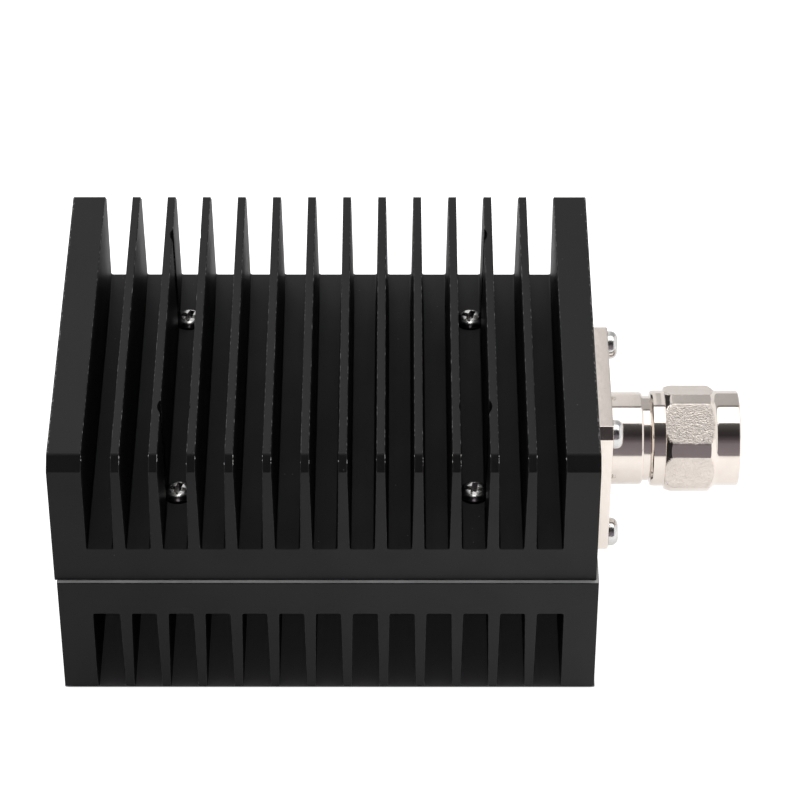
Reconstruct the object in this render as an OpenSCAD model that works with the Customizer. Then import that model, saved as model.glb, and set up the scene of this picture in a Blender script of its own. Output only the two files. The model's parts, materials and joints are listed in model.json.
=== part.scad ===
// Coaxial power termination: a load resistor clamped between two finned
// heat sinks, fed by a flanged coaxial plug with a hexagon coupling nut.
// Millimetres, +Z up. The plug points along +X and the fins run along Y.

/* [Heat sinks] */
// Length of each heat sink, along the plug's axis
sink_l = 100; // [96:0.5:120]
// Depth of each heat sink, along its fins
sink_d = 80; // [74:0.5:100]
// Height of each heat sink, from the seam to the fin tips
sink_h = 29.3; // [24:0.1:40]
// Thickness of the plate that the fins stand on
base_t = 7.85; // [7.4:0.05:10]
// Thickness of the solid wall at each end
end_wall_t = 6.3; // [5.8:0.1:8]
// Number of thin fins between the end walls
fin_count = 12; // [10:1:13]
// Thickness of a fin at its tip
fin_tip_t = 1.55; // [1.2:0.05:2]
// Thickness of a fin at its root
fin_root_t = 2.25; // [1.8:0.05:2.6]
// Radius between a fin and the plate
root_r = 0.4; // [0.3:0.1:1.2]
// Leg of the bevel along the front and back ends of the fin tips
tip_bevel = 2.5; // [1:0.1:4]
// How far the upper heat sink is set along X from the lower one
upper_shift_x = -0.46; // [-0.8:0.02:0]
// How far the upper heat sink is set along Y from the lower one, half each way
upper_shift_y = 0.8; // [0:0.05:1.2]

/* [Screws] */
// Nominal diameter of every screw
screw_d = 3; // [2.8:0.1:3.2]
// Diameter of a pan head
head_d = 5.4; // [5:0.1:5.8]
// Height of a pan head
head_h = 2; // [1.6:0.1:2.4]
// Radius round the top edge of a pan head
head_r = 1.3; // [0.8:0.1:1.5]
// Width across the arms of the cross recess
cross_w = 3; // [2.4:0.1:3.4]
// Width of one arm of the cross recess
cross_arm_w = 0.85; // [0.6:0.05:1]
// Depth of the cross recess
cross_depth = 1.4; // [0.8:0.1:1.6]
// Gap all round between a screw and its tapped hole
thread_gap = 0.03; // [0.02:0.01:0.08]
// Gap all round between a screw and its clearance hole
hole_gap = 0.2; // [0.1:0.05:0.3]
// Drilled depth past the end of a screw in a blind hole
drill_run = 0.6; // [0.3:0.1:0.8]

/* [Clamp screws] */
// Length of a clamp screw under its head
clamp_screw_l = 12; // [10:0.5:12.5]
// Fin pitches from the middle to each pair of clamp screws
clamp_pitches = 4; // [2:1:4]
// How far the clamp screws stand outboard of the middle of their gap
clamp_bias = 0.18; // [0:0.02:0.3]
// Distance between the front and back clamp screws
clamp_span_y = 50.3; // [44:0.1:56]
// How far the clamp screws stand behind the middle of the upper heat sink
clamp_back = 0.45; // [0:0.05:0.6]
// Diameter of the bore that lets the head and the driver down between the fins
driver_bore_d = 6.1; // [6:0.05:6.4]
// Depth of the head's seat below the floor of the gap
seat_depth = 0.8; // [0.6:0.1:2]

/* [Flange] */
// Width and height of the square flange
flange_w = 32; // [31:0.5:36]
// Thickness of the flange
flange_t = 3.2; // [2.6:0.1:4]
// Leg of the cut across each corner of the flange
flange_cut = 1.85; // [1:0.05:2.2]
// Distance between the flange's screws, each way
flange_span = 25.4; // [24.8:0.1:26]
// Angle that the flange stands turned about the plug's axis, in degrees
flange_turn = 1.1; // [-2:0.1:2]
// Length of a flange screw under its head
flange_screw_l = 8; // [7:0.5:8.5]

/* [Plug body] */
// Diameter of the round boss on the flange
boss_d = 17.8; // [17:0.1:19]
// Length of the boss, with its bevel
boss_l = 6.5; // [5:0.1:8]
// Leg of the bevel on the end of the boss
boss_bevel = 0.5; // [0.2:0.1:0.6]
// Diameter of the neck between the boss and the nut
neck_d = 16.3; // [15.8:0.1:16.5]
// Length of the neck that shows behind the nut
neck_l = 1.55; // [0.8:0.05:2.5]
// Diameter of the journal that the nut turns on
journal_d = 15; // [14.7:0.1:15.2]
// Diameter of the land in front of the retaining ring
land_d = 14.5; // [14.2:0.1:14.6]
// Length of the land in front of the retaining ring
land_l = 1.05; // [0.8:0.05:1.6]

/* [Coupling nut] */
// Width across the flats of the hexagon
nut_af = 19.05; // [19:0.05:20]
// Diameter that the hexagon's corners are turned down to
corner_d = 20.7; // [20.2:0.02:21.6]
// Diameter of the round collar behind the hexagon
collar_d = 18.45; // [18:0.05:18.8]
// Length of the collar, with its bevel
collar_l = 2.65; // [2.5:0.05:4]
// Length of the bevel on the rear end of the collar
collar_bevel = 0.6; // [0.2:0.1:0.8]
// Length of the hexagon, with its bevels
hex_l = 10.2; // [8:0.1:14]
// Diameter of the round nose in front of the hexagon
nose_d = 18.3; // [17.6:0.1:18.8]
// Length of the nose
nose_l = 4.1; // [3:0.1:6]
// Bevel round the nose's outer and inner edges
nose_bevel = 0.25; // [0.1:0.05:0.5]
// Angle that the nut stands turned, in degrees
nut_turn = -27.7; // [-30:0.1:30]
// Major diameter of the coupling thread, 5/8 inch with 24 turns to the inch
thread_d = 15.9; // [15.8:0.05:16]
// Gap all round between the nut and its journal
nut_gap = 0.07; // [0.03:0.01:0.1]

/* [Contacts] */
// Outer diameter of the outer contact's sleeve
sleeve_d = 8.1; // [7.9:0.05:8.3]
// Diameter of the outer contact where it sits in the body and the gasket
sleeve_seat_d = 8.6; // [8.4:0.05:9]
// Length of the outer contact's seat behind the retaining ring
sleeve_grip_l = 0.85; // [0.6:0.05:1.2]
// Bore of the outer contact, which is also the front insulator's seat
sleeve_bore_d = 7; // [6.8:0.05:7.2]
// Depth of the sleeve's end behind the nose
sleeve_recess = 2; // [1:0.1:3]
// Length of each slot in the sleeve
slot_l = 7; // [5:0.1:8]
// Width of each slot in the sleeve
slot_w = 0.4; // [0.3:0.05:0.6]
// Diameter of the centre contact's shank
shank_d = 3.04; // [2.9:0.02:3.2]
// Diameter of the centre contact's pin
pin_d = 1.65; // [1.5:0.01:1.7]
// Length of the pin in front of its shoulder
pin_l = 4.3; // [3.5:0.1:5]
// Depth of the pin's shoulder behind the sleeve's end
shoulder_recess = 5.3; // [5.2:0.05:6]
// Diameter of the solder tail
tail_d = 1.5; // [1.2:0.05:1.8]
// Length of the solder tail
tail_l = 2.6; // [2:0.1:3]

/* [Insulators and seals] */
// Diameter of the rear insulator
rear_ins_d = 10.2; // [9.8:0.1:10.4]
// How far the rear insulator reaches behind the flange's seat
rear_ins_out = 6.5; // [6:0.1:7]
// Length of the front insulator
front_ins_l = 4; // [3:0.1:5]
// Gap all round an insulator or a contact in its seat
fit_gap = 0.02; // [0.01:0.01:0.05]
// Gap all round the rear insulator in the heat sinks
passage_gap = 0.2; // [0.1:0.05:0.4]
// Width of the retaining ring, along the plug
ring_w = 1.2; // [0.9:0.05:1.4]
// Radial depth of the retaining ring
ring_t = 1.35; // [1.1:0.05:1.4]
// How deep the retaining ring sits in the body's journal
ring_in = 0.65; // [0.5:0.05:0.7]
// How far behind the hexagon's rear end the retaining ring starts
ring_back = 0.5; // [0.3:0.1:0.7]
// Opening in the retaining ring
ring_split = 2.2; // [1:0.1:4]
// Thickness of the gasket, along the plug
gasket_t = 1.1; // [0.8:0.05:1.5]
// Outer diameter of the gasket
gasket_d = 14.2; // [13.6:0.1:14.4]

/* [Load resistor] */
// Length of the resistor's flange, across the plug's axis
load_l = 24.8; // [23:0.1:26]
// Width of the resistor's flange, along the plug's axis
load_w = 9.5; // [9:0.1:10.5]
// Thickness of the resistor's flange
load_t = 3; // [2.4:0.1:3.2]
// Distance from each end of the resistor's flange to its screw
load_edge = 3.2; // [3.1:0.1:3.9]
// Length of a resistor screw under its head
load_screw_l = 5; // [4.5:0.1:5.4]
// Thickness of the washers under those screws
washer_t = 0.5; // [0.3:0.1:0.6]
// Diameter of those washers
washer_d = 6; // [5.8:0.1:6.2]
// Thickness of the thermal pad under the resistor
pad_t = 0.15; // [0.1:0.05:0.3]
// Side of the ceramic substrate, across the plug's axis
substrate_l = 9; // [8:0.1:9.4]
// Thickness of the ceramic substrate
substrate_t = 1; // [0.8:0.05:1.1]
// How far the substrate stands back from the long edges of the flange
substrate_margin = 0.2; // [0.1:0.1:0.5]
// How far the cover stands back from the substrate's edges
cover_margin = 0.5; // [0.3:0.1:1]
// Thickness of the ceramic cover
cover_t = 1.4; // [1:0.1:1.6]
// Width of the resistor's tab
tab_w = 1.6; // [1.2:0.1:2.4]
// Thickness of the resistor's tab
tab_t = 0.15; // [0.1:0.05:0.2]
// How far the tab reaches back over the substrate
tab_in = 1.5; // [1:0.1:2]
// Length of the solder along the tab
solder_l = 2.2; // [1.6:0.1:2.4]
// Thickness of the solder beside the tail
solder_t = 0.25; // [0.15:0.05:0.4]
// Thickness of the solder between the tail and the tab
solder_film = 0.1; // [0.05:0.05:0.2]
// Space between the solder tail's end and the resistor's flange
load_gap = 0.2; // [0.1:0.1:0.4]
// Space behind and beside the resistor in its pocket
pocket_run = 1.2; // [0.8:0.1:1.5]
// Height of the pocket in the upper heat sink
pocket_up = 2.8; // [2.4:0.1:3.2]
// Radius of the cutter that milled the pocket
cutter_r = 2; // [1:0.1:2.5]

/* [Hidden] */
$fn = 64;
// Overshoot of a cutter past the face that it opens
over = 1;

// Fins: equal gaps between the tips, from wall to wall
fin_pitch = (sink_l - 2 * end_wall_t + fin_tip_t) / (fin_count + 1);
fin_h = sink_h - base_t;
fin_lean = atan((fin_root_t - fin_tip_t) / 2 / fin_h);
function fin_x(i) = (i - (fin_count + 1) / 2) * fin_pitch;

// Screws
clamp_x = clamp_pitches * fin_pitch + clamp_bias;
clamp_y = clamp_span_y / 2;
clamp_mid = [upper_shift_x, upper_shift_y / 2 + clamp_back];
seat_z = base_t - seat_depth;
tapped_d = screw_d + 2 * thread_gap;
clear_d = screw_d + 2 * hole_gap;

// Stations along the plug, from the flange's seat on the lower heat sink
seat_x = sink_l / 2;
boss_end = flange_t + boss_l;
nut_rear = boss_end + neck_l;
journal_start = nut_rear - 2 * nut_gap;
hex_start = nut_rear + collar_l;
nose_start = hex_start + hex_l;
nose_end = nose_start + nose_l;
sleeve_end = nose_end - sleeve_recess;
shoulder = sleeve_end - shoulder_recess;
// The retaining ring, with its grooves in the nut and the body
groove_end_gap = 0.05;
groove_room = 0.2;
ring_start = hex_start - ring_back;
ring_id = journal_d - 2 * ring_in;
ring_od = ring_id + 2 * ring_t;
lip_d = journal_d + 2 * nut_gap;
nut_groove_d = ring_od + 2 * groove_room;
land_start = ring_start + ring_w + groove_end_gap;
land_end = land_start + land_l;
sleeve_start = ring_start - sleeve_grip_l;
sleeve_bare = land_end + gasket_t;
// Bevels of the hexagon, 30 degrees behind and 45 in front
rear_bevel_in = 0.03;
rear_bevel_d = nut_af - 2 * rear_bevel_in;
rear_bevel_l = (corner_d - rear_bevel_d) / 2 / tan(30);
front_bevel_l = (corner_d - nose_d) / 2;

// The resistor under the solder tail, counted down from the plug's axis
tab_top = -tail_d / 2 - solder_film;
substrate_top = tab_top - tab_t;
load_top = substrate_top - substrate_t;
load_bottom = load_top - load_t;
pocket_down = -load_bottom + pad_t;
pocket_front = seat_x - rear_ins_out;
load_front = pocket_front - tail_l - load_gap;
load_x = load_front - load_w / 2;
pocket_back = load_front - load_w - pocket_run;
pocket_w = load_l + 2 * pocket_run;
substrate_w = load_w - 2 * substrate_margin;
tab_back = load_x + substrate_w / 2 - tab_in;
tab_front = pocket_front - tail_l + solder_l;

// The frame: on the middle of the box's underside, which the plug's axis
// crosses, because the heat sinks are shifted half each way along Y
box_left = -sink_l / 2 + min(0, upper_shift_x);
box_right = seat_x + nose_end;

// Moves the middle of the lower heat sink's length, at the seam and on the
// plug's axis, to its place in the frame
module in_frame() {
    translate([-(box_left + box_right) / 2, 0, sink_h]) children();
}

// Turns a shape made along +Z to lie along the plug, from the flange's seat
module along_plug() {
    translate([seat_x, 0, 0]) rotate([90, 0, 90]) children();
}

// Puts a shape, made along the plug, at each of the flange's four screws
module at_flange_screws() {
    rotate(flange_turn) for (i = [-1, 1], j = [-1, 1])
        translate([i * flange_span / 2, j * flange_span / 2, 0]) children();
}

// Puts a shape at the seat of each clamp screw's head
module at_clamp_screws() {
    for (i = [-1, 1], j = [-1, 1])
        translate([clamp_mid[0] + i * clamp_x, clamp_mid[1] + j * clamp_y, seat_z]) children();
}

// Puts a shape at each of the resistor's two screws, at height z
module at_load_screws(z) {
    for (j = [-1, 1]) translate([load_x, j * (load_l / 2 - load_edge), z]) children();
}

// A rod or a tube between two stations of the plug
module rod(from, to, d) {
    translate([0, 0, from]) cylinder(h = to - from, d = d);
}

module tube(from, to, d, bore) {
    difference() {
        rod(from, to, d);
        rod(from - over, to + over, bore);
    }
}

// A pan-head screw, its head above z = 0 and its shank below
module pan_screw(l) {
    tip = 0.4;
    difference() {
        union() {
            rotate_extrude() {
                square([head_d / 2 - head_r, head_h]);
                square([head_d / 2, head_h - head_r]);
                translate([head_d / 2 - head_r, head_h - head_r]) intersection() {
                    circle(r = head_r);
                    square(head_r);
                }
            }
            translate([0, 0, tip - l]) cylinder(h = l - tip + head_h / 2, d = screw_d);
            translate([0, 0, -l]) cylinder(h = tip, d1 = screw_d - 2 * tip, d2 = screw_d);
        }
        cross_recess();
    }
}

// The driver's cross: four arms that run down into a point
module cross_recess() {
    spread = (cross_w - cross_arm_w) / cross_depth;
    top_w = cross_w + spread * over;
    translate([0, 0, head_h - cross_depth]) intersection() {
        cylinder(h = cross_depth + over, d1 = cross_arm_w, d2 = top_w);
        for (a = [45, 135]) rotate(a) translate([-top_w / 2, -cross_arm_w / 2, 0])
            cube([top_w, cross_arm_w, cross_depth + 2 * over]);
    }
}

// A hole for a screw, from the plane under its head downwards
module screw_hole(l, d) {
    translate([0, 0, -l]) cylinder(h = l + over, d = d);
}

// The section of the gap to the right of fin i, as a cutter: straight sides
// with a round corner at each root. Fins 0 and fin_count + 1 are the walls.
module gap_outline(i) {
    top = sink_h + over;
    spread = (top - base_t) * tan(fin_lean);
    left_wall = i == 0;
    right_wall = i == fin_count;
    left_lean = left_wall ? 0 : fin_lean;
    right_lean = right_wall ? 0 : fin_lean;
    left = left_wall ? -sink_l / 2 + end_wall_t : fin_x(i) + fin_root_t / 2;
    right = right_wall ? sink_l / 2 - end_wall_t : fin_x(i + 1) - fin_root_t / 2;
    left_c = left + root_r * (1 - sin(left_lean)) / cos(left_lean);
    right_c = right - root_r * (1 - sin(right_lean)) / cos(right_lean);
    polygon([
        [left_c, base_t],
        [right_c, base_t],
        [right_c + root_r * cos(right_lean), base_t + root_r * (1 - sin(right_lean))],
        [right + (right_wall ? 0 : spread), top],
        [left - (left_wall ? 0 : spread), top],
        [left_c - root_r * cos(left_lean), base_t + root_r * (1 - sin(left_lean))]
    ]);
    for (c = [left_c, right_c]) translate([c, base_t + root_r]) circle(r = root_r);
}

// One extrusion, plate down and fins up, with its tips bevelled at both ends
module extrusion() {
    difference() {
        translate([-sink_l / 2, -sink_d / 2, 0]) cube([sink_l, sink_d, sink_h]);
        translate([0, sink_d / 2 + over, 0]) rotate([90, 0, 0])
            linear_extrude(sink_d + 2 * over) for (i = [0:fin_count]) gap_outline(i);
        for (end = [0, 1]) mirror([0, end, 0]) translate([-sink_l / 2 - over, -sink_d / 2, sink_h])
            rotate([90, 0, 90]) linear_extrude(sink_l + 2 * over)
                polygon([[-over, over], [tip_bevel + over, over], [-over, -tip_bevel - over]]);
    }
}

// What the two heat sinks share: the resistor's pocket, the way in for the
// plug's insulator and the tapped holes for the flange's screws
module shared_cuts(pocket_depth) {
    pocket(pocket_depth);
    along_plug() rod(-rear_ins_out - over, over, rear_ins_d + 2 * passage_gap);
    along_plug() at_flange_screws() translate([0, 0, flange_t])
        screw_hole(flange_screw_l + drill_run, tapped_d);
}

// The milled pocket, as deep each way from the seam as depth says
module pocket(depth) {
    translate([0, 0, -depth]) linear_extrude(2 * depth) {
        for (x = [pocket_back + cutter_r, pocket_front - cutter_r], y = [-1, 1])
            translate([x, y * (pocket_w / 2 - cutter_r)]) circle(r = cutter_r);
        translate([pocket_back + cutter_r, -pocket_w / 2])
            square([pocket_front - pocket_back - 2 * cutter_r, pocket_w]);
        translate([pocket_back, -pocket_w / 2 + cutter_r])
            square([pocket_front - pocket_back, pocket_w - 2 * cutter_r]);
    }
}

module lower_heatsink() {
    color([0.13, 0.13, 0.14]) difference() {
        translate([0, -upper_shift_y / 2, 0]) mirror([0, 0, 1]) extrusion();
        shared_cuts(pocket_down);
        at_clamp_screws() screw_hole(clamp_screw_l + drill_run, tapped_d);
        at_load_screws(load_top + washer_t) screw_hole(load_screw_l + drill_run / 2, tapped_d);
    }
}

module upper_heatsink() {
    color([0.16, 0.16, 0.17]) difference() {
        translate([upper_shift_x, upper_shift_y / 2, 0]) extrusion();
        shared_cuts(pocket_up);
        at_clamp_screws() {
            screw_hole(seat_z + over, clear_d);
            cylinder(h = sink_h, d = driver_bore_d);
        }
    }
}

module clamp_screws() {
    color([0.72, 0.72, 0.7]) at_clamp_screws() pan_screw(clamp_screw_l);
}

// Square flange, boss, neck, journal for the nut, ring groove and land
module plug_body() {
    color([0.8, 0.78, 0.74]) along_plug() difference() {
        union() {
            rotate(flange_turn) linear_extrude(flange_t)
                polygon([for (a = [0:90:270], s = [0, 1]) corner_point(a, s)]);
            rotate_extrude() polygon([
                [0, flange_t - over],
                [boss_d / 2, flange_t - over],
                [boss_d / 2, boss_end - boss_bevel],
                [boss_d / 2 - boss_bevel, boss_end],
                [neck_d / 2, boss_end],
                [neck_d / 2, journal_start],
                [journal_d / 2, journal_start],
                [journal_d / 2, ring_start - groove_end_gap],
                [ring_id / 2 - fit_gap, ring_start - groove_end_gap],
                [ring_id / 2 - fit_gap, land_start],
                [land_d / 2, land_start],
                [land_d / 2, land_end],
                [0, land_end]
            ]);
        }
        rod(-over, sleeve_start, rear_ins_d + 2 * fit_gap);
        rod(-over, land_end + over, sleeve_seat_d + 2 * fit_gap);
        at_flange_screws() translate([0, 0, -over])
            cylinder(h = flange_t + 2 * over, d = clear_d);
    }
}

// The corners of the flange, each cut across: s picks the end of the cut
function corner_point(a, s) =
    let (half = flange_w / 2, x = half - s * flange_cut, y = half - (1 - s) * flange_cut)
    [x * cos(a) - y * sin(a), x * sin(a) + y * cos(a)];

module flange_screws() {
    color([0.75, 0.75, 0.73]) along_plug() at_flange_screws()
        translate([0, 0, flange_t]) pan_screw(flange_screw_l);
}

// Slotted sleeve that makes the outer contact, thicker where it is seated
module outer_contact() {
    lead = 0.2;
    color([0.83, 0.8, 0.74]) along_plug() difference() {
        rotate_extrude() polygon([
            [sleeve_bore_d / 2, sleeve_start],
            [sleeve_seat_d / 2, sleeve_start],
            [sleeve_seat_d / 2, sleeve_bare],
            [sleeve_d / 2, sleeve_bare],
            [sleeve_d / 2, sleeve_end - lead],
            [sleeve_d / 2 - lead, sleeve_end],
            [sleeve_bore_d / 2, sleeve_end]
        ]);
        for (a = [45, 135]) rotate(a) translate([-sleeve_d, -slot_w / 2, sleeve_end - slot_l])
            cube([2 * sleeve_d, slot_w, slot_l + over]);
    }
}

// Pin, shoulder, shank and solder tail, turned in one piece
module centre_contact() {
    color([0.85, 0.68, 0.35]) along_plug() rotate_extrude() polygon([
        [0, -rear_ins_out - tail_l],
        [tail_d / 2, -rear_ins_out - tail_l],
        [tail_d / 2, -rear_ins_out],
        [shank_d / 2, -rear_ins_out],
        [shank_d / 2, shoulder],
        [pin_d / 2, shoulder],
        [pin_d / 2, shoulder + pin_l - pin_d / 2],
        [pin_d / 5, shoulder + pin_l],
        [0, shoulder + pin_l]
    ]);
}

module front_insulator() {
    color([0.95, 0.95, 0.93]) along_plug() tube(sleeve_start, sleeve_start + front_ins_l,
        sleeve_bore_d - 2 * fit_gap, shank_d + 2 * fit_gap);
}

module rear_insulator() {
    color([0.93, 0.93, 0.91]) along_plug()
        tube(-rear_ins_out, sleeve_start, rear_ins_d, shank_d + 2 * fit_gap);
}

// Split ring that holds the nut on its journal
module retaining_ring() {
    color([0.6, 0.58, 0.5]) along_plug() difference() {
        tube(ring_start, ring_start + ring_w, ring_od, ring_id);
        translate([0, -ring_split / 2, ring_start - over])
            cube([ring_od, ring_split, ring_w + 2 * over]);
    }
}

module gasket() {
    color([0.55, 0.2, 0.12]) along_plug()
        tube(land_end, sleeve_bare, gasket_d, sleeve_seat_d + 2 * fit_gap);
}

// Collar, hexagon and nose turned and milled from one bar
module coupling_nut() {
    color([0.82, 0.8, 0.76]) along_plug() intersection() {
        rotate_extrude() polygon([
            [lip_d / 2, nut_rear],
            [collar_d / 2 - collar_bevel, nut_rear],
            [collar_d / 2, nut_rear + collar_bevel],
            [collar_d / 2, hex_start],
            [rear_bevel_d / 2, hex_start],
            [corner_d / 2, hex_start + rear_bevel_l],
            [corner_d / 2, nose_start - front_bevel_l],
            [nose_d / 2, nose_start],
            [nose_d / 2, nose_end - nose_bevel],
            [nose_d / 2 - nose_bevel, nose_end],
            [thread_d / 2 + nose_bevel, nose_end],
            [thread_d / 2, nose_end - nose_bevel],
            [thread_d / 2, land_start + groove_end_gap],
            [nut_groove_d / 2, land_start + groove_end_gap],
            [nut_groove_d / 2, ring_start - groove_end_gap],
            [lip_d / 2, ring_start - groove_end_gap]
        ]);
        translate([0, 0, nut_rear - over]) rotate(nut_turn)
            cylinder(h = nose_end - nut_rear + 2 * over, d = nut_af / cos(30), $fn = 6);
    }
}

module resistor_flange() {
    color([0.78, 0.77, 0.74]) difference() {
        translate([load_x - load_w / 2, -load_l / 2, load_bottom]) cube([load_w, load_l, load_t]);
        at_load_screws(load_bottom - over) cylinder(h = load_t + 2 * over, d = clear_d);
    }
}

module resistor_substrate() {
    color([0.9, 0.9, 0.88]) translate([load_x - substrate_w / 2, -substrate_l / 2, load_top])
        cube([substrate_w, substrate_l, substrate_t]);
}

// Ceramic lid, notched over the tab
module resistor_cover() {
    w = substrate_w - 2 * cover_margin;
    l = substrate_l - 2 * cover_margin;
    color([0.96, 0.96, 0.94]) difference() {
        translate([load_x - w / 2, -l / 2, substrate_top]) cube([w, l, cover_t]);
        translate([tab_back, -tab_w / 2 - fit_gap, substrate_top - over])
            cube([load_w, tab_w + 2 * fit_gap, tab_t + over + fit_gap]);
    }
}

module resistor_tab() {
    color([0.87, 0.86, 0.82]) translate([tab_back + fit_gap, -tab_w / 2, substrate_top])
        cube([tab_front - tab_back - fit_gap, tab_w, tab_t]);
}

// Solder heaped along the tail, on the tab
module solder_joint() {
    heap_d = tail_d + 2 * solder_t;
    color([0.7, 0.7, 0.7]) along_plug() difference() {
        translate([0, 0, -rear_ins_out - tail_l]) intersection() {
            cylinder(h = solder_l, d = heap_d);
            translate([-heap_d, tab_top, 0]) cube([2 * heap_d, heap_d, solder_l]);
        }
        rod(-rear_ins_out - tail_l - over, over, tail_d);
    }
}

module thermal_pad() {
    color([0.4, 0.4, 0.42]) difference() {
        translate([load_x - load_w / 2, -load_l / 2, load_bottom - pad_t]) cube([load_w, load_l, pad_t]);
        at_load_screws(load_bottom - pad_t - over) cylinder(h = pad_t + 2 * over, d = clear_d);
    }
}

module resistor_washers() {
    color([0.7, 0.7, 0.68]) at_load_screws(load_top) tube(0, washer_t, washer_d, clear_d);
}

module resistor_screws() {
    color([0.75, 0.75, 0.73]) at_load_screws(load_top + washer_t) pan_screw(load_screw_l);
}

in_frame() lower_heatsink();
in_frame() upper_heatsink();
in_frame() clamp_screws();
in_frame() plug_body();
in_frame() flange_screws();
in_frame() outer_contact();
in_frame() centre_contact();
in_frame() front_insulator();
in_frame() rear_insulator();
in_frame() retaining_ring();
in_frame() gasket();
in_frame() coupling_nut();
in_frame() resistor_flange();
in_frame() resistor_substrate();
in_frame() resistor_cover();
in_frame() resistor_tab();
in_frame() solder_joint();
in_frame() thermal_pad();
in_frame() resistor_washers();
in_frame() resistor_screws();
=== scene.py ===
import json
import math
import random

import bmesh
import bpy
from bpy.props import FloatProperty, FloatVectorProperty, IntProperty, PointerProperty
from mathutils import Matrix, Vector


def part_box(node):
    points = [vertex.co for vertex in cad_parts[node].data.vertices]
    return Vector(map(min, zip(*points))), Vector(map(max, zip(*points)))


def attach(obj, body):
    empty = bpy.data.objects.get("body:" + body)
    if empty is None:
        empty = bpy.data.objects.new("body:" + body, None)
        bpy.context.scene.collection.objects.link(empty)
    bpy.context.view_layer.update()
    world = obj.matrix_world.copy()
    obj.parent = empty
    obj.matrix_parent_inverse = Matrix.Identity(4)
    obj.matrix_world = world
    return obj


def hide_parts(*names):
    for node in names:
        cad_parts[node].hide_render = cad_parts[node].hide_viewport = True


bl_info = {
    "name": "Coaxial power termination",
    "version": (1, 0, 0),
    "blender": (4, 5, 0),
    "location": "3D View > Sidebar > Termination",
    "description": "Dresses the packed termination: heat sinks, plug, nut, screws and studio",
    "category": "Object",
}

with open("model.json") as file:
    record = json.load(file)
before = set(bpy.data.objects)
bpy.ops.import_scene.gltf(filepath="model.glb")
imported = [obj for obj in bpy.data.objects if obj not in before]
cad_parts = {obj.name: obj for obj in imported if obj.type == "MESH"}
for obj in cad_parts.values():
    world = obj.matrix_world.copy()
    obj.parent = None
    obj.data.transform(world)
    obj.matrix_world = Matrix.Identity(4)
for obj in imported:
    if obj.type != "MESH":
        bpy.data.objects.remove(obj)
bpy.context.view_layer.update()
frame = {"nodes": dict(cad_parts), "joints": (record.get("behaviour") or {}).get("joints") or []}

MM = 0.001

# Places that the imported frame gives: the plug's axis and the flange's seat,
# from which the stations along the plug are counted
AXIS = Vector(frame["joints"][0]["pos_m"])
SEAT_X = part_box("plug_body")[0].x
SEAM_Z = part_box("upper_heatsink")[0].z
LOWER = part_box("lower_heatsink")
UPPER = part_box("upper_heatsink")
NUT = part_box("coupling_nut")

# Turns what is made along X upright
STAND = Matrix.Rotation(-math.pi / 2, 4, "Y")
# What the camera looks at
TARGET = Vector((-0.57, 1.72, 37.5)) * MM
# Nearly all of a noise lies between these
NOISE_SPAN = (0.35, 0.65)
# A tapped hole stands this clear of its screw, and runs this much deeper
TAP_PLAY = 0.03 * MM
TAP_OVER = 0.6 * MM
# How far a groove stands clear of the retaining ring at each end
RING_PLAY = 0.05 * MM
# How far a cutter runs past what it cuts
OVER = 1 * MM


def length(name, description, millimetres):
    """A property that holds a size in metres, with its default in millimetres."""
    return FloatProperty(
        name=name,
        description=description,
        default=millimetres * MM,
        min=0.0,
        unit="LENGTH",
        precision=5,
    )


def angle(name, description, degrees):
    """A property that holds an angle, with its default in degrees."""
    return FloatProperty(
        name=name,
        description=description,
        default=math.radians(degrees),
        subtype="ANGLE",
        unit="ROTATION",
    )


def linear(hex_colour):
    """An sRGB hex colour as linear red, green, blue and alpha."""
    parts = [int(hex_colour[i : i + 2], 16) / 255 for i in (1, 3, 5)]
    return [p / 12.92 if p <= 0.04045 else ((p + 0.055) / 1.055) ** 2.4 for p in parts] + [1.0]


def colour(name, description, hex_colour):
    """A property that holds a colour, with its default as an sRGB hex value."""
    return FloatVectorProperty(
        name=name,
        description=description,
        default=linear(hex_colour),
        subtype="COLOR",
        size=4,
        min=0.0,
        max=1.0,
    )


class HeatsinkSizes(bpy.types.PropertyGroup):
    """Section and edges of the two finned extrusions."""

    plate: length("Plate", "Thickness of the plate that the fins stand on", 7.85)
    wall: length("End wall", "Thickness of the solid wall at each end", 6.3)
    fins: IntProperty(name="Fins", description="Fins between the end walls", default=12, min=1)
    tip: length("Fin tip", "Thickness of a fin at its tip", 1.55)
    root: length("Fin root", "Thickness of a fin at its root", 2.25)
    root_radius: length("Root radius", "Radius between a fin and the plate", 0.4)
    tip_radius: length("Tip radius", "Radius along the long edges of the tips", 0.22)
    outer_radius: length("Outer radius", "Radius along the outer edge of an end wall", 0.45)
    tip_bevel: length("Tip bevel", "Leg of the bevel across both ends of the tips", 2.5)
    tip_soft: length("Tip softness", "Reach of the soft edge over a tip bevel", 0.42)
    edge_break: length("Edge break", "Bevel left round the sawn ends by deburring", 0.12)
    passage: length("Passage", "Diameter of the way in for the plug's insulator", 10.6)
    passage_depth: length("Passage depth", "How far that way in reaches behind the flange", 6.5)
    burr: length("Burr", "Mean length of a bright burr on the edge of a tip bevel", 0.55)
    anodise: colour("Anodise", "Colour of the dyed oxide", "#0b0a0c")
    worn: colour("Rubbed edge", "Colour where the dye has rubbed off", "#8f8d8c")
    bare: colour("Bare aluminium", "Colour of the milled seam faces", "#e4e4e3")


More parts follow.
